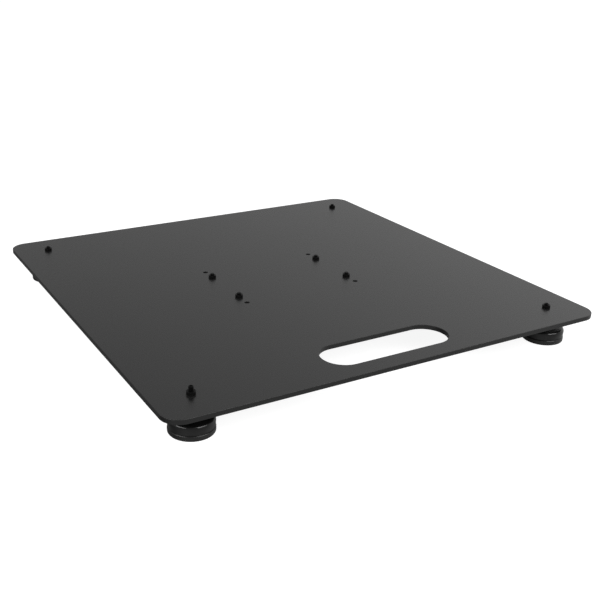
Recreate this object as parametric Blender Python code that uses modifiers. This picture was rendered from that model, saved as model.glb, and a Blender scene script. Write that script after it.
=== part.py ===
"""Square steel floor plate on four levelling feet, the base of a lighting or speaker column.

Metres, +Z up. The origin is on the floor under the middle of the plate, and the hand slot is towards -Y.
"""

import math

import bmesh
import bpy

MM = 0.001

# Plate
PLATE_SIDE = 600 * MM
PLATE_THICKNESS = 6 * MM
PLATE_UNDERSIDE = 37.3 * MM
PLATE_TOP = PLATE_UNDERSIDE + PLATE_THICKNESS
PLATE_CORNER_RADIUS = 23 * MM
PLATE_EDGE_RADIUS = 0.8 * MM
CORNER_STEPS = 8

# Hand slot, a stadium along X
SLOT_LENGTH = 175 * MM
SLOT_WIDTH = 55 * MM
SLOT_FROM_FRONT = 52 * MM
SLOT_END_STEPS = 20

# Hole patterns: half the spacing in X and Y
STUD_HALF_SPACING = PLATE_SIDE / 2 - 46.5 * MM
BOLT_HALF_X = 85 * MM
BOLT_HALF_Y = 40 * MM
OPEN_HOLE_HALF_Y = 62 * MM
HOLE_STEPS = 20

# Touching pieces stand this far apart
GAP = 0.3 * MM

# M6 hardware, at the feet and at the middle
THREAD_RADIUS = 2.95 * MM
THREAD_CHAMFER = 0.6 * MM
ACROSS_FLATS = 10 * MM
END_FACE_SHARE = 0.97
NUT_HEIGHT = 3.2 * MM
BOLT_LENGTH = 14 * MM
BOLT_HEAD_HEIGHT = 4 * MM
WASHER_RADIUS = 6 * MM
WASHER_THICKNESS = 1.6 * MM
CLEARANCE_RADIUS = 3.3 * MM

# Hex socket in the top of each foot's stud, to turn it from above the plate
SOCKET_ACROSS_FLATS = 3 * MM
SOCKET_DEPTH = 3 * MM

# Levelling foot, heights above the floor
PAD_RADIUS = 26.2 * MM
PAD_FLAT_RADIUS = 24.2 * MM
PAD_EDGE_RADIUS = 2 * MM
PAD_RIM_TOP = 6.7 * MM
PAD_CORE_TOP = 10.1 * MM
BODY_BOTTOM = PAD_RIM_TOP + GAP
BODY_TOP = 18 * MM
BODY_WAIST_RADIUS = 25.7 * MM
BODY_BULGE_RADIUS = 26 * MM
BODY_SHOULDER_RADIUS = 24.1 * MM
BODY_WALL = 2.5 * MM
CAVITY_RADIUS = BODY_WAIST_RADIUS - BODY_WALL
RETAINER_THICKNESS = 2 * MM
FLANGE_RADIUS = 7 * MM
STUD_HEX_HEIGHT = 5 * MM
STUD_ABOVE_PLATE = 5.5 * MM
TALL_STUD_ABOVE_PLATE = 9 * MM
FOOT_STEPS = 32
FASTENER_STEPS = 20

# Each corner: name, side in X, side in Y, stud's height above the plate, and how far its lock nut and its
# centre nut are turned, in degrees
CORNERS = (
    ("front_left", -1, -1, TALL_STUD_ABOVE_PLATE, 34, 31),
    ("front_right", 1, -1, STUD_ABOVE_PLATE, 14, 24),
    ("back_left", -1, 1, STUD_ABOVE_PLATE, 43, 37),
    ("back_right", 1, 1, STUD_ABOVE_PLATE, 27, 29),
)

MERGE_DISTANCE = 0.01 * MM
SMOOTH_ANGLE = math.radians(30)
CUTTER_OVERSHOOT = 1 * MM


def clear_scene():
    for obj in list(bpy.data.objects):
        bpy.data.objects.remove(obj, do_unlink=True)


def new_collection(name):
    collection = bpy.data.collections.new(name)
    bpy.context.scene.collection.children.link(collection)
    return collection


def new_material(name, colour, roughness, metallic):
    material = bpy.data.materials.new(name)
    material.use_nodes = True
    shader = material.node_tree.nodes["Principled BSDF"]
    shader.inputs["Base Color"].default_value = (*colour, 1)
    shader.inputs["Roughness"].default_value = roughness
    shader.inputs["Metallic"].default_value = metallic
    material.diffuse_color = (*colour, 1)
    return material


def arc(centre_x, centre_y, radius, start, end, steps):
    """Points along an arc, with angles in degrees, both ends included."""
    angles = [math.radians(start + (end - start) * step / steps) for step in range(steps + 1)]
    return [(centre_x + radius * math.cos(a), centre_y + radius * math.sin(a)) for a in angles]


def circle(centre_x, centre_y, radius, steps):
    return arc(centre_x, centre_y, radius, 0, 360, steps)[:-1]


def linked(name, data):
    obj = bpy.data.objects.new(name, data)
    bpy.context.scene.collection.objects.link(obj)
    return obj


def turned(profile, steps, closed):
    """A helper object: the profile, (radius, height) points down its outer side, turned about Z."""
    mesh = bpy.data.meshes.new("turned")
    edges = [(i, i + 1) for i in range(len(profile) - 1)]
    if closed:
        edges.append((len(profile) - 1, 0))
    mesh.from_pydata([(radius, 0, height) for radius, height in profile], edges, [])
    obj = linked("turned", mesh)
    screw = obj.modifiers.new("turn", "SCREW")
    screw.steps = steps
    screw.render_steps = steps
    screw.use_merge_vertices = True
    screw.merge_threshold = MERGE_DISTANCE
    return obj


def rod(radius, bottom, top, steps):
    """A helper object: an upright cylinder on the Z axis."""
    return turned([(0, top), (radius, top), (radius, bottom), (0, bottom)], steps, closed=False)


def hexagon(across_flats, bottom, top):
    """A helper object: an upright hexagonal prism on the Z axis."""
    mesh = bpy.data.meshes.new("hexagon")
    corner_radius = across_flats / 2 / math.cos(math.pi / 6)
    bm = bmesh.new()
    bmesh.ops.create_cone(
        bm, cap_ends=True, segments=6, radius1=corner_radius, radius2=corner_radius, depth=top - bottom
    )
    bmesh.ops.translate(bm, verts=bm.verts, vec=(0, 0, (top + bottom) / 2))
    bm.to_mesh(mesh)
    bm.free()
    return linked("hexagon", mesh)


def chamfer_limit(bottom, top):
    """A helper object: the turned shape that a hexagon is cut to, which chamfers the corners of both ends."""
    corner_radius = ACROSS_FLATS / 2 / math.cos(math.pi / 6) + GAP
    end_radius = ACROSS_FLATS / 2 * END_FACE_SHARE
    drop = (corner_radius - end_radius) * math.tan(math.radians(30))
    profile = [
        (0, top),
        (end_radius, top),
        (corner_radius, top - drop),
        (corner_radius, bottom + drop),
        (end_radius, bottom),
        (0, bottom),
    ]
    return turned(profile, FASTENER_STEPS, closed=False)


def baked(name, obj, steps=()):
    """The mesh of a helper object after each (operation, tool) Boolean step. The helpers are removed."""
    for operation, tool in steps:
        boolean = obj.modifiers.new(operation, "BOOLEAN")
        boolean.operation = operation
        boolean.object = tool
    graph = bpy.context.evaluated_depsgraph_get()
    mesh = bpy.data.meshes.new_from_object(obj.evaluated_get(graph))
    mesh.name = name
    for helper in [obj, *(tool for _, tool in steps)]:
        bpy.data.objects.remove(helper, do_unlink=True)
    bm = bmesh.new()
    bm.from_mesh(mesh)
    bmesh.ops.remove_doubles(bm, verts=bm.verts, dist=MERGE_DISTANCE)
    bm.to_mesh(mesh)
    bm.free()
    mesh.shade_smooth()
    mesh.set_sharp_from_angle(angle=SMOOTH_ANGLE)
    return mesh


def plate_outline():
    inner = PLATE_SIDE / 2 - PLATE_CORNER_RADIUS
    corners = ((inner, -inner, -90), (inner, inner, 0), (-inner, inner, 90), (-inner, -inner, 180))
    points = []
    for x, y, start in corners:
        points += arc(x, y, PLATE_CORNER_RADIUS, start, start + 90, CORNER_STEPS)
    return points


def slot_outline():
    y = SLOT_FROM_FRONT - PLATE_SIDE / 2
    radius = SLOT_WIDTH / 2
    end = SLOT_LENGTH / 2 - radius
    right = arc(end, y, radius, -90, 90, SLOT_END_STEPS)
    left = arc(-end, y, radius, 90, 270, SLOT_END_STEPS)
    return right + left


def hole_outlines():
    """Four stud holes, four holes for the centre bolts and four open holes beside those."""
    outlines = []
    for side_x in (-1, 1):
        for side_y in (-1, 1):
            stud = side_x * STUD_HALF_SPACING, side_y * STUD_HALF_SPACING
            bolt = side_x * BOLT_HALF_X, side_y * BOLT_HALF_Y
            spare = side_x * BOLT_HALF_X, side_y * OPEN_HOLE_HALF_Y
            outlines.append(circle(*stud, THREAD_RADIUS + GAP, HOLE_STEPS))
            outlines.append(circle(*bolt, THREAD_RADIUS + GAP, HOLE_STEPS))
            outlines.append(circle(*spare, CLEARANCE_RADIUS, HOLE_STEPS))
    return outlines


def plate_mesh():
    """The sheet as a flat curve with its holes, extruded, with every cut edge slightly chamfered."""
    curve = bpy.data.curves.new("base_plate", "CURVE")
    curve.dimensions = "2D"
    curve.fill_mode = "BOTH"
    curve.extrude = PLATE_THICKNESS / 2 - PLATE_EDGE_RADIUS
    curve.bevel_depth = PLATE_EDGE_RADIUS
    curve.bevel_resolution = 0
    curve.offset = -PLATE_EDGE_RADIUS
    holes = [slot_outline(), *hole_outlines()]
    for outline in [plate_outline(), *(hole[::-1] for hole in holes)]:
        spline = curve.splines.new("POLY")
        spline.points.add(len(outline) - 1)
        for point, (x, y) in zip(spline.points, outline, strict=True):
            point.co = (x, y, 0, 1)
        spline.use_cyclic_u = True
    return baked("base_plate", linked("base_plate", curve))


def nut_mesh():
    bore = rod(THREAD_RADIUS + GAP, -CUTTER_OVERSHOOT, NUT_HEIGHT + CUTTER_OVERSHOOT, FASTENER_STEPS)
    limit = chamfer_limit(0, NUT_HEIGHT)
    blank = hexagon(ACROSS_FLATS, 0, NUT_HEIGHT)
    return baked("nut", blank, [("INTERSECT", limit), ("DIFFERENCE", bore)])


def washer_mesh():
    bore = THREAD_RADIUS + GAP
    profile = [(bore, WASHER_THICKNESS), (WASHER_RADIUS, WASHER_THICKNESS), (WASHER_RADIUS, 0), (bore, 0)]
    return baked("centre_washer", turned(profile, FASTENER_STEPS, closed=True))


def bolt_mesh():
    """A hex bolt pointing up, with the underside of its head at height 0."""
    profile = [
        (0, BOLT_LENGTH),
        (THREAD_RADIUS - THREAD_CHAMFER, BOLT_LENGTH),
        (THREAD_RADIUS, BOLT_LENGTH - THREAD_CHAMFER),
        (THREAD_RADIUS, -BOLT_HEAD_HEIGHT / 2),
        (0, -BOLT_HEAD_HEIGHT / 2),
    ]
    shank = turned(profile, FASTENER_STEPS, closed=False)
    head = hexagon(ACROSS_FLATS, -BOLT_HEAD_HEIGHT, 0)
    limit = chamfer_limit(-BOLT_HEAD_HEIGHT, 0)
    return baked("centre_bolt", head, [("INTERSECT", limit), ("UNION", shank)])


def stud_mesh(above_plate):
    """The foot's stud: a flange held inside the foot body, a hexagon, the thread, and a socket in its tip."""
    tip = PLATE_TOP + above_plate
    flange_top = BODY_TOP - BODY_WALL - GAP
    flange_bottom = PAD_CORE_TOP + GAP + RETAINER_THICKNESS + GAP
    hex_bottom = BODY_TOP + GAP
    profile = [
        (0, tip),
        (THREAD_RADIUS - THREAD_CHAMFER, tip),
        (THREAD_RADIUS, tip - THREAD_CHAMFER),
        (THREAD_RADIUS, flange_top),
        (FLANGE_RADIUS, flange_top),
        (FLANGE_RADIUS, flange_bottom),
        (0, flange_bottom),
    ]
    stem = turned(profile, FASTENER_STEPS, closed=False)
    collar = hexagon(ACROSS_FLATS, hex_bottom, hex_bottom + STUD_HEX_HEIGHT)
    socket = hexagon(SOCKET_ACROSS_FLATS, tip - SOCKET_DEPTH, tip + CUTTER_OVERSHOOT)
    return baked("foot_stud", stem, [("UNION", collar), ("DIFFERENCE", socket)])


def foot_body_mesh():
    """A turned cup, open below, with a shallow waist, a rounded shoulder and a hole for the stud."""
    bulge_bottom = BODY_BOTTOM + 6 * MM
    bulge_top = bulge_bottom + 1.5 * MM
    ceiling = BODY_TOP - BODY_WALL
    shoulder = arc(
        BODY_SHOULDER_RADIUS, bulge_top, BODY_BULGE_RADIUS - BODY_SHOULDER_RADIUS, 90, 0, CORNER_STEPS // 2
    )
    stretch = (BODY_TOP - bulge_top) / (BODY_BULGE_RADIUS - BODY_SHOULDER_RADIUS)
    outside = [(radius, bulge_top + (height - bulge_top) * stretch) for radius, height in shoulder]
    outside += [
        (BODY_BULGE_RADIUS, bulge_bottom),
        (BODY_WAIST_RADIUS, BODY_BOTTOM + 2 * MM),
        (BODY_WAIST_RADIUS, BODY_BOTTOM),
    ]
    inside = [
        (CAVITY_RADIUS, BODY_BOTTOM),
        (CAVITY_RADIUS, ceiling),
        (THREAD_RADIUS + GAP, ceiling),
        (THREAD_RADIUS + GAP, BODY_TOP),
    ]
    return baked("foot_body", turned(outside + inside, FOOT_STEPS, closed=True))


def foot_pad_mesh():
    """The rubber that stands on the floor: a rim flush with the body, and a core that plugs the cavity."""
    core_radius = CAVITY_RADIUS - GAP
    edge = arc(PAD_FLAT_RADIUS, PAD_EDGE_RADIUS, PAD_EDGE_RADIUS, 0, -90, CORNER_STEPS // 2)
    profile = [
        (0, PAD_CORE_TOP),
        (core_radius, PAD_CORE_TOP),
        (core_radius, PAD_RIM_TOP),
        (BODY_WAIST_RADIUS, PAD_RIM_TOP),
        (PAD_RADIUS, PAD_RIM_TOP - THREAD_CHAMFER),
        *edge,
        (0, 0),
    ]
    return baked("foot_pad", turned(profile, FOOT_STEPS, closed=False))


def retainer_mesh():
    """A disc between the pad's core and the stud's flange, which carries the load down to the pad."""
    bottom = PAD_CORE_TOP + GAP
    return baked("foot_retainer", rod(CAVITY_RADIUS - GAP, bottom, bottom + RETAINER_THICKNESS, FOOT_STEPS))


def place(collection, name, mesh, material, location=(0, 0, 0), turn=0, parent=None):
    """A named piece of the object. turn is about Z, in degrees."""
    obj = bpy.data.objects.new(name, mesh)
    if not mesh.materials:
        mesh.materials.append(material)
    obj.location = location
    obj.rotation_euler = (0, 0, math.radians(turn))
    obj.parent = parent
    collection.objects.link(obj)
    return obj


def place_feet(collection, steel, plastic, rubber):
    """Each corner's foot hangs on an empty on its stud's axis. The lock nut stays with the plate."""
    body = foot_body_mesh()
    pad = foot_pad_mesh()
    retainer = retainer_mesh()
    nut = nut_mesh()
    for corner, side_x, side_y, above_plate, nut_turn, _ in CORNERS:
        x = side_x * STUD_HALF_SPACING
        y = side_y * STUD_HALF_SPACING
        axis = bpy.data.objects.new(f"foot_axis_{corner}", None)
        axis.location = (x, y, 0)
        collection.objects.link(axis)
        place(collection, f"foot_body_{corner}", body, plastic, parent=axis)
        place(collection, f"foot_pad_{corner}", pad, rubber, parent=axis)
        place(collection, f"foot_retainer_{corner}", retainer, steel, parent=axis)
        place(collection, f"foot_stud_{corner}", stud_mesh(above_plate), steel, parent=axis)
        place(collection, f"lock_nut_{corner}", nut, steel, (x, y, PLATE_TOP + GAP), nut_turn)


def place_centre_fasteners(collection, steel):
    """A bolt from below with a washer under its head and a nut on top, at each corner of a rectangle."""
    bolt = bolt_mesh()
    washer = washer_mesh()
    nut = nut_mesh()
    washer_bottom = PLATE_UNDERSIDE - GAP - WASHER_THICKNESS
    for corner, side_x, side_y, _, bolt_turn, nut_turn in CORNERS:
        x = side_x * BOLT_HALF_X
        y = side_y * BOLT_HALF_Y
        place(collection, f"centre_washer_{corner}", washer, steel, (x, y, washer_bottom))
        place(collection, f"centre_bolt_{corner}", bolt, steel, (x, y, washer_bottom - GAP), bolt_turn)
        place(collection, f"centre_nut_{corner}", nut, steel, (x, y, PLATE_TOP + GAP), nut_turn)


def main():
    clear_scene()
    collection = new_collection("floor_plate")
    powder_coat = new_material("powder_coat", (0.035, 0.035, 0.036), 0.5, 0)
    black_steel = new_material("black_steel", (0.02, 0.02, 0.02), 0.4, 0)
    gloss_plastic = new_material("gloss_plastic", (0.012, 0.012, 0.012), 0.15, 0)
    rubber = new_material("rubber", (0.02, 0.02, 0.02), 0.35, 0)
    plate_middle = (0, 0, PLATE_UNDERSIDE + PLATE_THICKNESS / 2)
    place(collection, "base_plate", plate_mesh(), powder_coat, plate_middle)
    place_feet(collection, black_steel, gloss_plastic, rubber)
    place_centre_fasteners(collection, black_steel)


main()
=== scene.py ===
"""Finished look of a square steel floor plate on four levelling feet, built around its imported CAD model.

Metres, +Z up. The origin is on the floor under the middle of the plate, and the hand slot is towards -Y.
Places come from the CAD nodes' boxes. Sizes that the CAD model doesn't hold, such as those of the threads,
are named below.
"""

import math

import bmesh
import bpy
import numpy as np
from mathutils import Euler, Matrix, Vector


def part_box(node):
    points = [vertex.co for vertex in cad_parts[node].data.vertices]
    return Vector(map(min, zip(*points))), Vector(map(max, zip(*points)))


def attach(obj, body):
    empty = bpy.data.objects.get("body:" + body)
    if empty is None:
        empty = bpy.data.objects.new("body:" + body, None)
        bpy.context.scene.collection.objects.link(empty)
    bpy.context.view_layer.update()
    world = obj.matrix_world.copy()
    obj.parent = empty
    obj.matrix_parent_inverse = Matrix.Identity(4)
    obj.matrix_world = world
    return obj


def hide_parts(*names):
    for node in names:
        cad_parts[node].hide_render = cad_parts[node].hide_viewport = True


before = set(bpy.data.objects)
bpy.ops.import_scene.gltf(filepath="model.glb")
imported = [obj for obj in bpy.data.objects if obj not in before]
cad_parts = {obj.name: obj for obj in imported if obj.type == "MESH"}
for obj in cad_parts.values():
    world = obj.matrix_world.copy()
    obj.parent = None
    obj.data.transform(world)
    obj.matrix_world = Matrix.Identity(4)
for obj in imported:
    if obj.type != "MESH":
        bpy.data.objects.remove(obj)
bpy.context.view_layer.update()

MM = 0.001

# Each corner: how far its lock nut and its centre nut are turned, in degrees
CORNERS = {"front_left": (34, 31), "front_right": (14, 24), "back_left": (43, 37), "back_right": (27, 29)}

# Plate: the sheet's outline, its rounded edges and its laser-cut openings. A face counts as level when the Z
# part of its normal is over LEVEL_NORMAL.
CORNER_RADIUS = 23 * MM
CORNER_STEPS = 24
EDGE_RADIUS = 0.5 * MM
EDGE_RESOLUTION = 3
LEVEL_NORMAL = 0.999
SLOT_LENGTH = 175 * MM
SLOT_WIDTH = 55 * MM
SLOT_FROM_FRONT = 52 * MM
SLOT_END_STEPS = 48
OPEN_HOLE_HALF_Y = 62 * MM
OPEN_HOLE_RADIUS = 3.3 * MM
HOLE_STEPS = 40

# M6 hardware: thread, hex socket, hexagon and small edges. The phases are the shares of the pitch where the
# thread's crest, falling flank, root and rising flank start. The face share is the radius of a hexagon's
# round end face, over half its width across the flats.
PITCH = 1 * MM
CREST = 2.95 * MM
FLATS = 10 * MM
ROOT = CREST - 0.6 * PITCH
THREAD_PHASES = (0, 1 / 8, 7 / 16, 11 / 16)
THREAD_CLEARANCE = 0.07 * MM
COUNTERSINK = 0.3 * MM
SOCKET_FLATS = 3 * MM
SOCKET_DEPTH = 3 * MM
SOCKET_CONE = 0.6 * MM
HEX_CORNER_RADIUS = 0.35 * MM
HEX_CORNER_STEPS = 4
HEX_FLAT_STEPS = 8
HEX_FIRST_CORNER = 30
HEX_FACE_SHARE = 0.95
HEX_CHAMFER_SLOPE = math.tan(math.radians(30))
FINE_EDGE = 0.12 * MM
SEAT_GAP = 0.02 * MM
WASHER_EDGE = 0.25 * MM

# Levelling foot: body, pad, retainer and the stud's flange and hexagon. Angles are in degrees.
ROUND_STEPS = 144
FOOT_WALL = 2.5 * MM
FOOT_WAIST = 0.3 * MM
SHOULDER_DROP = 5 * MM
SHOULDER_REACH = 3.2 * MM
SHOULDER_STEPS = 13
SHOULDER_FIRST_ANGLE = 80
BULGE_DROP = 1.5 * MM
BULGE_ROUNDING = 0.7 * MM
WAIST_RISE = 2 * MM
CAVITY_ROUNDING = 0.5 * MM
BOSS_RADIUS = 8 * MM
BOSS_RISE = 0.25 * MM
PAD_EDGE = 2 * MM
PAD_RIM_EDGE = 1.8 * MM
PAD_GROOVE_RADII = (18 * MM, 13 * MM, 8 * MM)
PAD_GROOVE_WIDTH = 1.6 * MM
PAD_GROOVE_DEPTH = 0.8 * MM
PAD_RIM_TOP = 6.7 * MM
RETAINER_EDGE = 0.5 * MM
RETAINER_DISH_SHARE = 0.2
FLANGE_RADIUS = 7 * MM
FLANGE_GAP = 0.3 * MM
COLLAR_HEIGHT = 5 * MM

# Camera: place in metres, angles in degrees, lens and sensor in millimetres
CAMERA_PLACE = (-0.5936, -1.005, 0.4885)
CAMERA_PAN = 29.54
CAMERA_TILT = 22.4
CAMERA_ROLL = 0.94
CAMERA_LENS = 53.55
CAMERA_SENSOR = 36
CAMERA_SHIFT = 0.0596

# Light. Azimuth 0 is towards -Y and 90 towards +X, in degrees.
# The room is grey, over a ground that is lighter in front, with a soft glow from one side.
ROOM_BRIGHTNESS = 0.39
GROUND_IN_FRONT = 0.5
GROUND_BEHIND = 0.13
GROUND_BLEND = 0.4
HORIZON_BELOW = 0.1
HORIZON_ABOVE = 0.05
GLOW_FROM = (100, 20)
GLOW_STRENGTH = 0.62
GLOW_TIGHTNESS = 4
# Softboxes: azimuth and elevation, then distance, width and height in metres, and power in watts
SOFTBOXES = {
    "left_softbox": (-74, 36, 2.2, 1.5, 1.1, 32),
    "right_softbox": (19, 36, 2.2, 1.6, 1.1, 34),
}

# What the camera sees behind the object, and the floor under it
BACKDROP_BRIGHTNESS = 1.2
FLOOR_RADIUS = 12
FLOOR_GAP = 0.05 * MM
FLOOR_SEGMENTS = 96
FLOOR_GLOW = 0.9
FLOOR_WHITENESS = 0.3
FLOOR_ROUGHNESS = 0.9

# Meshing: when points are one, the rings of a rounded corner, the longest part of a side that its rounding
# takes, and the angle, in degrees, from which an edge shades as sharp
MERGE_DISTANCE = 1e-7
ROUNDING_STEPS = 4
LONGEST_ROUNDING = 0.45
SHARP_ANGLE = 40


def middle(node):
    """Where the axis of a CAD node stands, as X and Y."""
    low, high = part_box(node)
    return (low.x + high.x) / 2, (low.y + high.y) / 2


# --- Surfaces of rings about the Z axis -------------------------------------


class RingSurface:
    """A closed surface made of rings about the Z axis, from its top down its outside."""

    def __init__(self, angles):
        self.angles = np.asarray(angles)
        self.points = []
        self.worn = []
        self.faces = []
        self.last = None

    def store(self, radius, height, worn=0.0):
        """Indices of a new row of points. radius and height are numbers, or one value for each angle."""
        start = len(self.points)
        x = radius * np.cos(self.angles)
        y = radius * np.sin(self.angles)
        self.points += np.stack(np.broadcast_arrays(x, y, height)).T.tolist()
        self.worn += [worn] * len(self.angles)
        return list(range(start, len(self.points)))

    def join(self, row):
        """Faces from the last row to this one. A row ends with the point that closes it."""
        if self.last:
            for n in range(len(row) - 1):
                self.faces.append((self.last[n], row[n], row[n + 1], self.last[n + 1]))
        self.last = row

    def ring(self, radius, height, worn=0.0):
        row = self.store(radius, height, worn)
        self.join([*row, row[0]])

    def last_corner(self):
        """Radius and height of the last row's points."""
        points = np.array([self.points[n] for n in self.last[:-1]])
        return np.stack([np.hypot(points[:, 0], points[:, 1]), points[:, 2]], axis=1)

    def section(self, *corners):
        """Rings down a run of corners (radius, height, rounding), each rounded over its third number."""
        full = np.ones(len(self.angles))
        at = [np.stack([full * radius, full * height], axis=1) for radius, height, _ in corners]
        for n, corner in enumerate(at):
            rounding = corners[n][2]
            if not rounding:
                self.ring(corner[:, 0], corner[:, 1])
                continue
            before = at[n - 1] if n else self.last_corner()
            start = corner + step_towards(before - corner, rounding)
            end = corner + step_towards(at[n + 1] - corner, rounding)
            for u in np.linspace(0, 1, ROUNDING_STEPS + 1):
                bend = start * (1 - u) ** 2 + corner * 2 * u * (1 - u) + end * u**2
                self.ring(bend[:, 0], bend[:, 1], worn=1 - abs(2 * u - 1))

    def thread(self, start, end, limit):
        """A right-hand ISO thread between two heights. limit(radius, height) cuts it to its ends."""
        low, high = sorted((start, end))
        lead = self.angles / (2 * np.pi) * PITCH
        radii = (CREST, CREST, ROOT, ROOT, CREST)
        turns = range(math.floor(low / PITCH) - 1, math.ceil(high / PITCH) + 1)
        rows = []
        for base in [(turn + phase) * PITCH for turn in turns for phase in THREAD_PHASES]:
            height = np.clip(base + lead, low, high)
            radius = np.interp((height - lead) / PITCH % 1, (*THREAD_PHASES, 1), radii)
            rows.append(self.store(limit(radius, height), height))
        closing = [rows[min(n + len(THREAD_PHASES), len(rows) - 1)][0] for n in range(len(rows))]
        closed = [[*row, last] for row, last in zip(rows, closing, strict=True)]
        for row in closed if start < end else closed[::-1]:
            self.join(row)

    def mesh(self, name):
        data = bpy.data.meshes.new(name)
        data.from_pydata(self.points, [], self.faces)
        data.attributes.new("worn", "FLOAT", "POINT").data.foreach_set("value", self.worn)
        bm = bmesh.new()
        bm.from_mesh(data)
        bmesh.ops.remove_doubles(bm, verts=bm.verts, dist=MERGE_DISTANCE)
        bmesh.ops.recalc_face_normals(bm, faces=bm.faces)
        bm.to_mesh(data)
        bm.free()
        data.shade_smooth()
        data.set_sharp_from_angle(angle=math.radians(SHARP_ANGLE))
        return data


def step_towards(run, distance):
    """Along each run by the distance, but only as far as a rounding may take."""
    length = np.linalg.norm(run, axis=1, keepdims=True)
    return run * np.minimum(distance / np.maximum(length, MERGE_DISTANCE), LONGEST_ROUNDING)


def round_angles():
    return np.arange(ROUND_STEPS) * 2 * np.pi / ROUND_STEPS


def hexagon(turn):
    """Angles and radii of the points of a hexagon with slightly rounded corners."""
    corner_reach = (FLATS / 2 - HEX_CORNER_RADIUS) / math.cos(math.pi / 6)
    points = []
    for corner in range(6):
        angle = math.radians(HEX_FIRST_CORNER + turn + 60 * corner)
        centre = corner_reach * np.array([math.cos(angle), math.sin(angle)])
        for step in range(HEX_CORNER_STEPS + 1):
            bend = angle + math.pi / 6 * (2 * step / HEX_CORNER_STEPS - 1)
            points.append(centre + HEX_CORNER_RADIUS * np.array([math.cos(bend), math.sin(bend)]))
        last = points[-1]
        first_of_next = rotated(points[-HEX_CORNER_STEPS - 1], math.pi / 3)
        for step in range(1, HEX_FLAT_STEPS):
            points.append(last + (first_of_next - last) * step / HEX_FLAT_STEPS)
    outline = np.array(points)
    angles = np.arctan2(outline[:, 1], outline[:, 0]) % (2 * np.pi)
    order = np.argsort(angles)
    return angles[order], np.linalg.norm(outline, axis=1)[order]


def rotated(point, angle):
    x, y = point
    return np.array([x * math.cos(angle) - y * math.sin(angle), x * math.sin(angle) + y * math.cos(angle)])


def hex_corners(radius, top, bottom):
    """A section's corners down the outside of a hexagon, with a 30 degree chamfer at both ends."""
    face = FLATS / 2 * HEX_FACE_SHARE
    drop = (radius - face) * HEX_CHAMFER_SLOPE
    return (
        (face, top, FINE_EDGE),
        (radius, top - drop, FINE_EDGE),
        (radius, bottom + drop, FINE_EDGE),
        (face, bottom, FINE_EDGE),
    )


def rod_tip(tip):
    """Cuts a rod's thread to a 45 degree chamfer at its tip."""

    def limit(radius, height):
        return np.minimum(radius, ROOT + (tip - height))

    return limit


def countersunk(bottom, top):
    """Opens a nut's thread to a countersink at both faces, with clearance to the rod's thread."""

    def limit(radius, height):
        depth = np.minimum(top - height, height - bottom)
        return np.maximum(radius + THREAD_CLEARANCE, CREST + COUNTERSINK - depth)

    return limit


# --- Meshes of the pieces, each on its own axis, at its height above the floor ---


def arc(centre_x, centre_y, radius, start, end, steps):
    """Points along an arc, with angles in degrees, both ends included."""
    angles = [math.radians(start + (end - start) * step / steps) for step in range(steps + 1)]
    return [(centre_x + radius * math.cos(a), centre_y + radius * math.sin(a)) for a in angles]


def plate_outline(side):
    inner = side / 2 - CORNER_RADIUS
    points = []
    corners = ((inner, -inner, -90), (inner, inner, 0), (-inner, inner, 90), (-inner, -inner, 180))
    for x, y, start in corners:
        points += arc(x, y, CORNER_RADIUS, start, start + 90, CORNER_STEPS)
    return points


def slot_outline(side):
    y = SLOT_FROM_FRONT - side / 2
    radius = SLOT_WIDTH / 2
    end = SLOT_LENGTH / 2 - radius
    return arc(end, y, radius, -90, 90, SLOT_END_STEPS) + arc(-end, y, radius, 90, 270, SLOT_END_STEPS)


def hole_outlines():
    """The holes of the studs and the centre bolts, and the open holes beside the bolts."""
    outlines = []
    for corner in CORNERS:
        bolt_x, bolt_y = middle(f"centre_bolt_{corner}")
        open_y = math.copysign(OPEN_HOLE_HALF_Y, bolt_y)
        for x, y, radius in (
            (*middle(f"foot_stud_{corner}"), CREST + COUNTERSINK),
            (bolt_x, bolt_y, CREST + COUNTERSINK),
            (bolt_x, open_y, OPEN_HOLE_RADIUS),
        ):
            outlines.append(arc(x, y, radius, 0, 360, HOLE_STEPS)[:-1])
    return outlines


def plate_mesh(side, thickness):
    """The sheet as a filled flat curve with its holes, extruded, with every cut edge rounded by the coat.

    The rims of the level faces are sharp, so that those faces shade as truly flat.
    """
    curve = bpy.data.curves.new("plate", "CURVE")
    curve.dimensions = "2D"
    curve.fill_mode = "BOTH"
    curve.extrude = thickness / 2 - EDGE_RADIUS
    curve.bevel_depth = EDGE_RADIUS
    curve.bevel_resolution = EDGE_RESOLUTION
    curve.offset = -EDGE_RADIUS
    holes = [slot_outline(side), *hole_outlines()]
    for outline in [plate_outline(side), *(hole[::-1] for hole in holes)]:
        spline = curve.splines.new("POLY")
        spline.points.add(len(outline) - 1)
        for point, (x, y) in zip(spline.points, outline, strict=True):
            point.co = (x, y, 0, 1)
        spline.use_cyclic_u = True
    helper = bpy.data.objects.new("plate", curve)
    bpy.context.scene.collection.objects.link(helper)
    graph = bpy.context.evaluated_depsgraph_get()
    data = bpy.data.meshes.new_from_object(helper.evaluated_get(graph))
    bpy.data.objects.remove(helper, do_unlink=True)
    bm = bmesh.new()
    bm.from_mesh(data)
    bmesh.ops.remove_doubles(bm, verts=bm.verts, dist=MERGE_DISTANCE)
    bmesh.ops.dissolve_degenerate(bm, dist=MERGE_DISTANCE, edges=bm.edges)
    bm.normal_update()
    worn = bm.verts.layers.float.new("worn")
    for vert in bm.verts:
        edge_depth = (thickness / 2 - abs(vert.co.z)) / EDGE_RADIUS
        vert[worn] = 1 - abs(2 * min(max(edge_depth, 0), 1) - 1)
    for face in bm.faces:
        face.smooth = True
    for edge in bm.edges:
        edge.smooth = sum(abs(face.normal.z) > LEVEL_NORMAL for face in edge.link_faces) != 1
    bm.to_mesh(data)
    bm.free()
    return data


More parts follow.
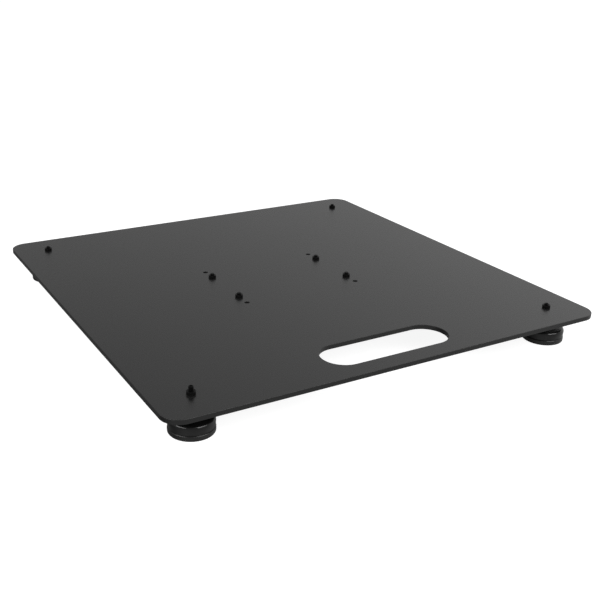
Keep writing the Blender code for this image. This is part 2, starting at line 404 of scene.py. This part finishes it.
def nut_mesh(bottom, top, turn):
    angles, outline = hexagon(turn)
    surface = RingSurface(angles)
    bore = CREST + COUNTERSINK
    surface.section((bore, top, 0), *hex_corners(outline, top, bottom), (bore, bottom, 0))
    surface.thread(bottom, top, countersunk(bottom, top))
    return surface.mesh("nut")


def washer_mesh(radius, bottom, top):
    """A punched washer, with its rounded edges on the upper side."""
    surface = RingSurface(round_angles())
    bore = CREST + COUNTERSINK
    surface.section(
        (bore, (top + bottom) / 2, 0),
        (bore, top, FINE_EDGE),
        (radius, top, WASHER_EDGE),
        (radius, bottom, FINE_EDGE),
        (bore, bottom, FINE_EDGE),
        (bore, (top + bottom) / 2, 0),
    )
    return surface.mesh("washer")


def bolt_mesh(seat, tip, head_bottom, turn):
    """A hex bolt pointing up, threaded from its head, whose bearing face is at the seat's height."""
    angles, outline = hexagon(turn)
    surface = RingSurface(angles)
    surface.ring(0, tip)
    surface.thread(tip, seat, rod_tip(tip))
    surface.section(*hex_corners(outline, seat, head_bottom), (ROOT, head_bottom, 0), (0, head_bottom, 0))
    return surface.mesh("bolt")


def stud_mesh(tip, flange_bottom, flange_top, flange_radius, collar_bottom, collar_top):
    """The foot's stud: hex socket, thread, hexagon to turn it by, neck, and the flange inside the foot."""
    angles, outline = hexagon(0)
    surface = RingSurface(angles)
    socket = outline * SOCKET_FLATS / FLATS
    socket_floor = tip - SOCKET_DEPTH
    surface.section(
        (0, socket_floor - SOCKET_CONE, 0),
        (socket, socket_floor, 0),
        (socket, tip - FINE_EDGE, 0),
        (socket + FINE_EDGE, tip, 0),
    )
    surface.thread(tip, collar_top, rod_tip(tip))
    surface.section(
        *hex_corners(outline, collar_top, collar_bottom),
        (CREST, collar_bottom, 0),
        (CREST, flange_top, FINE_EDGE),
        (flange_radius, flange_top, FINE_EDGE),
        (flange_radius, flange_bottom, FINE_EDGE),
        (0, flange_bottom, 0),
    )
    return surface.mesh("stud")


def foot_body_mesh(radius, bottom, top, stud_radius):
    """A turned cup, open below, with a shallow waist, a rounded shoulder and a low boss round the stud."""
    surface = RingSurface(round_angles())
    cavity = radius - FOOT_WAIST - FOOT_WALL
    shoulder = top - SHOULDER_DROP
    hole_middle = top - FOOT_WALL / 2
    rim_top = top - BOSS_RISE
    surface.section(
        (stud_radius, hole_middle, 0),
        (stud_radius, top, FINE_EDGE),
        (BOSS_RADIUS, top, 2 * FINE_EDGE),
        (BOSS_RADIUS + BOSS_RISE, rim_top, 2 * FINE_EDGE),
        (radius - SHOULDER_REACH, rim_top, 0),
    )
    for angle in np.linspace(SHOULDER_FIRST_ANGLE, 0, SHOULDER_STEPS):
        reach = SHOULDER_REACH * math.cos(math.radians(angle))
        rise = (rim_top - shoulder) * math.sin(math.radians(angle))
        surface.ring(radius - SHOULDER_REACH + reach, shoulder + rise)
    surface.section(
        (radius, shoulder - BULGE_DROP, BULGE_ROUNDING),
        (radius - FOOT_WAIST, bottom + WAIST_RISE, WAIST_RISE),
        (radius - FOOT_WAIST, bottom, 2 * FINE_EDGE),
        (cavity, bottom, 2 * FINE_EDGE),
        (cavity, top - FOOT_WALL, CAVITY_ROUNDING),
        (stud_radius, top - FOOT_WALL, FINE_EDGE),
        (stud_radius, hole_middle, 0),
    )
    return surface.mesh("foot_body")


def foot_pad_mesh(radius, core_radius, rim_top, core_top):
    """The rubber that stands on the floor, with ring grooves below and a core that plugs the foot body."""
    surface = RingSurface(round_angles())
    corners = [
        (0, core_top, 0),
        (core_radius, core_top, 2 * FINE_EDGE),
        (core_radius, rim_top, 2 * FINE_EDGE),
        (radius, rim_top, PAD_RIM_EDGE),
        (radius, 0, PAD_EDGE),
    ]
    for groove in PAD_GROOVE_RADII:
        corners += [
            (groove + PAD_GROOVE_WIDTH / 2, 0, 2 * FINE_EDGE),
            (groove + PAD_GROOVE_WIDTH / 3, PAD_GROOVE_DEPTH, 2 * FINE_EDGE),
            (groove - PAD_GROOVE_WIDTH / 3, PAD_GROOVE_DEPTH, 2 * FINE_EDGE),
            (groove - PAD_GROOVE_WIDTH / 2, 0, 2 * FINE_EDGE),
        ]
    surface.section(*corners, (0, 0, 0))
    return surface.mesh("foot_pad")


def retainer_mesh(radius, bottom, top):
    """A pressed disc with a rolled edge and a shallow dish under the stud's flange."""
    surface = RingSurface(round_angles())
    dish = (top - bottom) * RETAINER_DISH_SHARE
    surface.section(
        (0, top - dish, 0),
        (BOSS_RADIUS, top - dish, FINE_EDGE),
        (BOSS_RADIUS + dish, top, FINE_EDGE),
        (radius, top, RETAINER_EDGE),
        (radius, bottom, RETAINER_EDGE),
        (0, bottom, 0),
    )
    return surface.mesh("foot_retainer")


# --- Materials --------------------------------------------------------------


class Finish:
    """A node material on the object's own coordinates."""

    def __init__(self, name):
        self.material = bpy.data.materials.new(name)
        self.material.use_nodes = True
        self.tree = self.material.node_tree
        self.shader = self.tree.nodes["Principled BSDF"]
        self.place = self.node("ShaderNodeTexCoord").outputs["Object"]

    def node(self, kind, inputs=None, **settings):
        made = self.tree.nodes.new(kind)
        for key, value in settings.items():
            setattr(made, key, value)
        for key, value in (inputs or {}).items():
            self.feed(made.inputs[key], value)
        return made

    def feed(self, socket, value):
        if isinstance(value, bpy.types.NodeSocket):
            self.tree.links.new(value, socket)
        else:
            socket.default_value = value

    def noise(self, size, detail=2.0, roughness=0.5, stretch=(1, 1, 1)):
        """Noise from 0 to 1 with spots of about this size, in metres, stretched along X, Y and Z."""
        squeeze = [1 / s for s in stretch]
        scaled = self.node("ShaderNodeVectorMath", {0: self.place, 1: squeeze}, operation="MULTIPLY")
        inputs = {"Vector": scaled.outputs[0], "Scale": 1 / size, "Detail": detail, "Roughness": roughness}
        return self.node("ShaderNodeTexNoise", inputs).outputs["Fac"]

    def between(self, factor, low, high, start=0.3, end=0.7):
        """Moves from low to high as the factor goes from start to end."""
        inputs = {"Value": factor, "From Min": start, "From Max": end, "To Min": low, "To Max": high}
        return self.node("ShaderNodeMapRange", inputs).outputs["Result"]

    def times(self, one, other):
        return self.node("ShaderNodeMath", {0: one, 1: other}, operation="MULTIPLY").outputs[0]

    def plus(self, one, other):
        return self.node("ShaderNodeMath", {0: one, 1: other}, operation="ADD").outputs[0]

    def grey(self, value):
        inputs = {"Red": value, "Green": value, "Blue": value}
        return self.node("ShaderNodeCombineColor", inputs).outputs["Color"]

    def worn(self, spot_size, amount):
        """Rubbed edges: the mesh's worn attribute, broken up by noise."""
        edge = self.node("ShaderNodeAttribute", attribute_name="worn").outputs["Fac"]
        patches = self.between(self.noise(spot_size, detail=4), 0, amount)
        return self.times(edge, patches)

    def bump(self, height, depth, strength=1.0, base=None):
        """A relief of this depth, in metres, from a height from 0 to 1."""
        inputs = {"Height": height, "Distance": depth, "Strength": strength}
        if base:
            inputs["Normal"] = base
        return self.node("ShaderNodeBump", inputs).outputs["Normal"]

    def done(self, colour, roughness, normal, metallic=0.0, specular=0.5):
        self.feed(self.shader.inputs["Base Color"], colour)
        self.feed(self.shader.inputs["Roughness"], roughness)
        self.feed(self.shader.inputs["Normal"], normal)
        self.feed(self.shader.inputs["Metallic"], metallic)
        self.feed(self.shader.inputs["Specular IOR Level"], specular)
        return self.material


def powder_coat():
    """Satin black powder coat over laser-cut steel: fine grain, orange peel, cut marks on the edges."""
    finish = Finish("powder_coat")
    edge = finish.node("ShaderNodeAttribute", attribute_name="worn").outputs["Fac"]
    worn = finish.worn(6 * MM, 0.6)
    cloud = finish.noise(90 * MM, detail=3)
    colour = finish.plus(finish.between(cloud, 0.0043, 0.0049), finish.times(worn, 0.004))
    patches = finish.noise(3 * MM, detail=4)
    roughness = finish.plus(finish.between(patches, 0.26, 0.29), finish.times(edge, 0.3))
    grain = finish.bump(finish.noise(0.7 * MM, detail=3, roughness=0.6), 0.01 * MM, 0.5)
    peel = finish.bump(finish.noise(4 * MM, detail=1), 0.02 * MM, 0.5, grain)
    facing = finish.node("ShaderNodeNewGeometry").outputs["Normal"]
    upward = finish.node("ShaderNodeSeparateXYZ", {0: facing}).outputs["Z"]
    level = finish.node("ShaderNodeMath", {0: upward}, operation="ABSOLUTE").outputs[0]
    on_side = finish.between(level, 1, 0, 0.2, 0.6)
    streaks = finish.times(finish.noise(0.9 * MM, detail=2, stretch=(1, 1, 20)), on_side)
    normal = finish.bump(streaks, 0.04 * MM, 0.5, peel)
    return finish.done(finish.grey(colour), roughness, normal)


def black_steel():
    """Steel under a black oxide layer: satin, slightly mottled, with brighter rubbed edges."""
    finish = Finish("black_steel")
    worn = finish.worn(1.5 * MM, 0.8)
    mottle = finish.noise(2.5 * MM, detail=4)
    colour = finish.plus(finish.between(mottle, 0.002, 0.004), finish.times(worn, 0.01))
    patches = finish.noise(1.2 * MM, detail=5)
    roughness = finish.plus(finish.between(patches, 0.22, 0.32), finish.times(worn, -0.06))
    normal = finish.bump(finish.noise(0.25 * MM, detail=3), 0.01 * MM, 0.5)
    return finish.done(finish.grey(colour), roughness, normal, specular=0.06)


def gloss_plastic():
    """Gloss black moulded nylon: deep colour, faint flow marks and fine handling scuffs."""
    finish = Finish("gloss_plastic")
    worn = finish.worn(3 * MM, 0.5)
    cloud = finish.noise(12 * MM, detail=2)
    colour = finish.plus(finish.between(cloud, 0.006, 0.009), finish.times(worn, 0.01))
    scuffs = finish.noise(1.2 * MM, detail=5, stretch=(3, 1, 1))
    roughness = finish.between(scuffs, 0.13, 0.24, 0.35, 0.75)
    flow = finish.bump(finish.noise(5 * MM, detail=2, stretch=(1, 1, 0.4)), 0.04 * MM, 0.3)
    normal = finish.bump(finish.noise(0.3 * MM, detail=2), 0.003 * MM, 0.5, flow)
    return finish.done(finish.grey(colour), roughness, normal, specular=0.36)


def rubber():
    """Black rubber, semi-gloss where the mould was polished, dusty in patches."""
    finish = Finish("rubber")
    dust = finish.noise(8 * MM, detail=5)
    colour = finish.between(dust, 0.010, 0.016, 0.4, 0.8)
    roughness = finish.between(dust, 0.2, 0.34, 0.35, 0.75)
    normal = finish.bump(finish.noise(0.35 * MM, detail=3), 0.012 * MM, 0.5)
    return finish.done(finish.grey(colour), roughness, normal, specular=0.36)


# --- Putting the pieces in place ---------------------------------------------


def add_piece(name, data, material, body, node, place=(0, 0, 0)):
    """A finished piece that stands for one CAD node and moves with its body."""
    obj = bpy.data.objects.new(name, data)
    obj.location = place
    data.materials.clear()
    data.materials.append(material)
    bpy.context.scene.collection.objects.link(obj)
    weigh = obj.modifiers.new("weighted_normals", "WEIGHTED_NORMAL")
    weigh.keep_sharp = True
    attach(obj, body)
    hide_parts(node)
    return obj


def add_plate(coat):
    low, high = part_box("base_plate")
    data = plate_mesh(high.x - low.x, high.z - low.z)
    add_piece("plate_sheet", data, coat, "plate", "base_plate", (low + high) / 2)


def add_centre_fasteners(corner, turn, nut_turn, steel):
    x, y = middle(f"centre_bolt_{corner}")
    place = (x, y, 0)
    plate_low, plate_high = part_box("base_plate")
    bolt_low, bolt_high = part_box(f"centre_bolt_{corner}")
    washer_low, washer_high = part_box(f"centre_washer_{corner}")
    nut_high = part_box(f"centre_nut_{corner}")[1]
    washer_top = plate_low.z - SEAT_GAP
    washer_bottom = washer_top - (washer_high.z - washer_low.z)
    seat = washer_bottom - SEAT_GAP
    washer = washer_mesh((washer_high.x - washer_low.x) / 2, washer_bottom, washer_top)
    bolt = bolt_mesh(seat, bolt_high.z, bolt_low.z, turn)
    nut = nut_mesh(plate_high.z + SEAT_GAP, nut_high.z, nut_turn)
    for kind, data in (("washer", washer), ("bolt", bolt), ("nut", nut)):
        node = f"centre_{kind}_{corner}"
        add_piece(f"middle_{kind}_{corner}", data, steel, "plate", node, place)


def add_foot(corner, turn, steel, plastic, rubbery):
    x, y = middle(f"foot_stud_{corner}")
    place = (x, y, 0)
    plate_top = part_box("base_plate")[1].z
    nut_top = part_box(f"lock_nut_{corner}")[1].z
    body_low, body_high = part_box(f"foot_body_{corner}")
    pad_low, pad_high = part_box(f"foot_pad_{corner}")
    retainer_low, retainer_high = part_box(f"foot_retainer_{corner}")
    stud_low, stud_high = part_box(f"foot_stud_{corner}")
    body_radius = (body_high.x - body_low.x) / 2
    pad_radius = (pad_high.x - pad_low.x) / 2
    retainer_radius = (retainer_high.x - retainer_low.x) / 2
    stud_hole = CREST + COUNTERSINK
    nut = nut_mesh(plate_top + SEAT_GAP, nut_top, turn)
    stud = stud_mesh(
        stud_high.z,
        stud_low.z,
        body_high.z - FOOT_WALL - FLANGE_GAP,
        FLANGE_RADIUS,
        body_high.z + FLANGE_GAP,
        body_high.z + FLANGE_GAP + COLLAR_HEIGHT,
    )
    body = foot_body_mesh(body_radius, body_low.z, body_high.z, stud_hole)
    pad = foot_pad_mesh(pad_radius, retainer_radius, PAD_RIM_TOP, pad_high.z)
    retainer = retainer_mesh(retainer_radius, retainer_low.z, retainer_high.z)
    foot = f"foot_{corner}"
    for name, data, material, slot, rides_on, node in (
        ("lock_nut_m6", nut, steel, "black_steel", "plate", "lock_nut"),
        ("levelling_stud", stud, steel, "black_steel", f"stud_{corner}", "foot_stud"),
        ("foot_puck", body, plastic, "gloss_plastic", foot, "foot_body"),
        ("floor_pad", pad, rubbery, "rubber", foot, "foot_pad"),
        ("retainer_disc", retainer, steel, "black_steel", foot, "foot_retainer"),
    ):
        add_piece(f"{name}_{corner}", data, material, rides_on, f"{node}_{corner}", place)


# --- Studio -----------------------------------------------------------------


def add_camera():
    data = bpy.data.cameras.new("camera")
    data.sensor_width = CAMERA_SENSOR
    data.lens = CAMERA_LENS
    data.shift_x = CAMERA_SHIFT
    camera = bpy.data.objects.new("camera", data)
    pan = Euler((math.radians(90 - CAMERA_TILT), 0, math.radians(-CAMERA_PAN))).to_matrix()
    roll = Matrix.Rotation(math.radians(CAMERA_ROLL), 3, "Z")
    camera.rotation_euler = (pan @ roll).to_euler()
    camera.location = CAMERA_PLACE
    bpy.context.scene.collection.objects.link(camera)
    bpy.context.scene.camera = camera


def heading(azimuth, elevation):
    """The direction towards an azimuth and elevation, in degrees."""
    a, e = math.radians(azimuth), math.radians(elevation)
    return Vector((math.sin(a) * math.cos(e), -math.cos(a) * math.cos(e), math.sin(e)))


def add_softbox(name, azimuth, elevation, distance, width, height, power):
    """An area light that faces the middle of the object."""
    data = bpy.data.lights.new(name, "AREA")
    data.shape = "RECTANGLE"
    data.size = width
    data.size_y = height
    data.energy = power
    light = bpy.data.objects.new(name, data)
    away = heading(azimuth, elevation)
    light.location = away * distance
    light.rotation_euler = away.to_track_quat("Z", "Y").to_euler()
    light.visible_camera = False
    bpy.context.scene.collection.objects.link(light)


def add_world():
    """White behind the object for the camera; for the object's surfaces, a grey room with soft lights."""
    world = bpy.data.worlds.new("studio")
    world.use_nodes = True
    tree = world.node_tree

    def node(kind, inputs, output=0, **settings):
        made = tree.nodes.new(kind)
        for key, value in settings.items():
            setattr(made, key, value)
        for key, value in inputs.items():
            if isinstance(value, bpy.types.NodeSocket):
                tree.links.new(value, made.inputs[key])
            else:
                made.inputs[key].default_value = value
        return made.outputs[output]

    def background(strength):
        return node("ShaderNodeBackground", {"Color": (1, 1, 1, 1), "Strength": strength})

    direction = node("ShaderNodeTexCoord", {}, "Generated")
    forward = node("ShaderNodeSeparateXYZ", {0: direction}, "Y")
    upward = node("ShaderNodeSeparateXYZ", {0: direction}, "Z")
    ground = node(
        "ShaderNodeMapRange",
        {
            "Value": forward,
            "From Min": -GROUND_BLEND,
            "From Max": GROUND_BLEND,
            "To Min": GROUND_IN_FRONT,
            "To Max": GROUND_BEHIND,
        },
    )
    room = node(
        "ShaderNodeMapRange",
        {
            "Value": upward,
            "From Min": -HORIZON_BELOW,
            "From Max": HORIZON_ABOVE,
            "To Min": ground,
            "To Max": ROOM_BRIGHTNESS,
        },
    )
    cosine = node(
        "ShaderNodeVectorMath", {0: direction, 1: heading(*GLOW_FROM)}, "Value", operation="DOT_PRODUCT"
    )
    facing = node("ShaderNodeMath", {0: cosine, 1: 0.0}, operation="MAXIMUM")
    lobe = node("ShaderNodeMath", {0: facing, 1: GLOW_TIGHTNESS}, operation="POWER")
    total = node("ShaderNodeMath", {0: lobe, 1: GLOW_STRENGTH, 2: room}, operation="MULTIPLY_ADD")
    seen = node("ShaderNodeLightPath", {}, "Is Camera Ray")
    room_light, backdrop = background(total), background(BACKDROP_BRIGHTNESS)
    mix = node("ShaderNodeMixShader", {"Fac": seen, 1: room_light, 2: backdrop})
    tree.links.new(mix, tree.nodes["World Output"].inputs["Surface"])
    bpy.context.scene.world = world


def add_floor():
    """A wide pale floor, lit from within enough to keep the object's shadow faint."""
    data = bpy.data.meshes.new("floor")
    bm = bmesh.new()
    bmesh.ops.create_circle(bm, cap_ends=True, segments=FLOOR_SEGMENTS, radius=FLOOR_RADIUS)
    bm.to_mesh(data)
    bm.free()
    floor = bpy.data.objects.new("floor", data)
    floor.location = (0, 0, -FLOOR_GAP)
    material = bpy.data.materials.new("pale_floor")
    material.use_nodes = True
    shader = material.node_tree.nodes["Principled BSDF"]
    shader.inputs["Base Color"].default_value = (FLOOR_WHITENESS, FLOOR_WHITENESS, FLOOR_WHITENESS, 1)
    shader.inputs["Roughness"].default_value = FLOOR_ROUGHNESS
    shader.inputs["Specular IOR Level"].default_value = 0
    shader.inputs["Emission Color"].default_value = (1, 1, 1, 1)
    shader.inputs["Emission Strength"].default_value = FLOOR_GLOW
    data.materials.append(material)
    floor.visible_glossy = False
    floor.visible_diffuse = False
    bpy.context.scene.collection.objects.link(floor)


def main():
    add_camera()
    steel, plastic, rubbery = black_steel(), gloss_plastic(), rubber()
    add_plate(powder_coat())
    for corner, (lock_nut_turn, centre_nut_turn) in CORNERS.items():
        add_centre_fasteners(corner, lock_nut_turn, centre_nut_turn, steel)
        add_foot(corner, lock_nut_turn, steel, plastic, rubbery)
    add_world()
    add_floor()
    for name, light in SOFTBOXES.items():
        add_softbox(name, *light)
    bpy.context.scene.view_settings.view_transform = "Standard"


main()
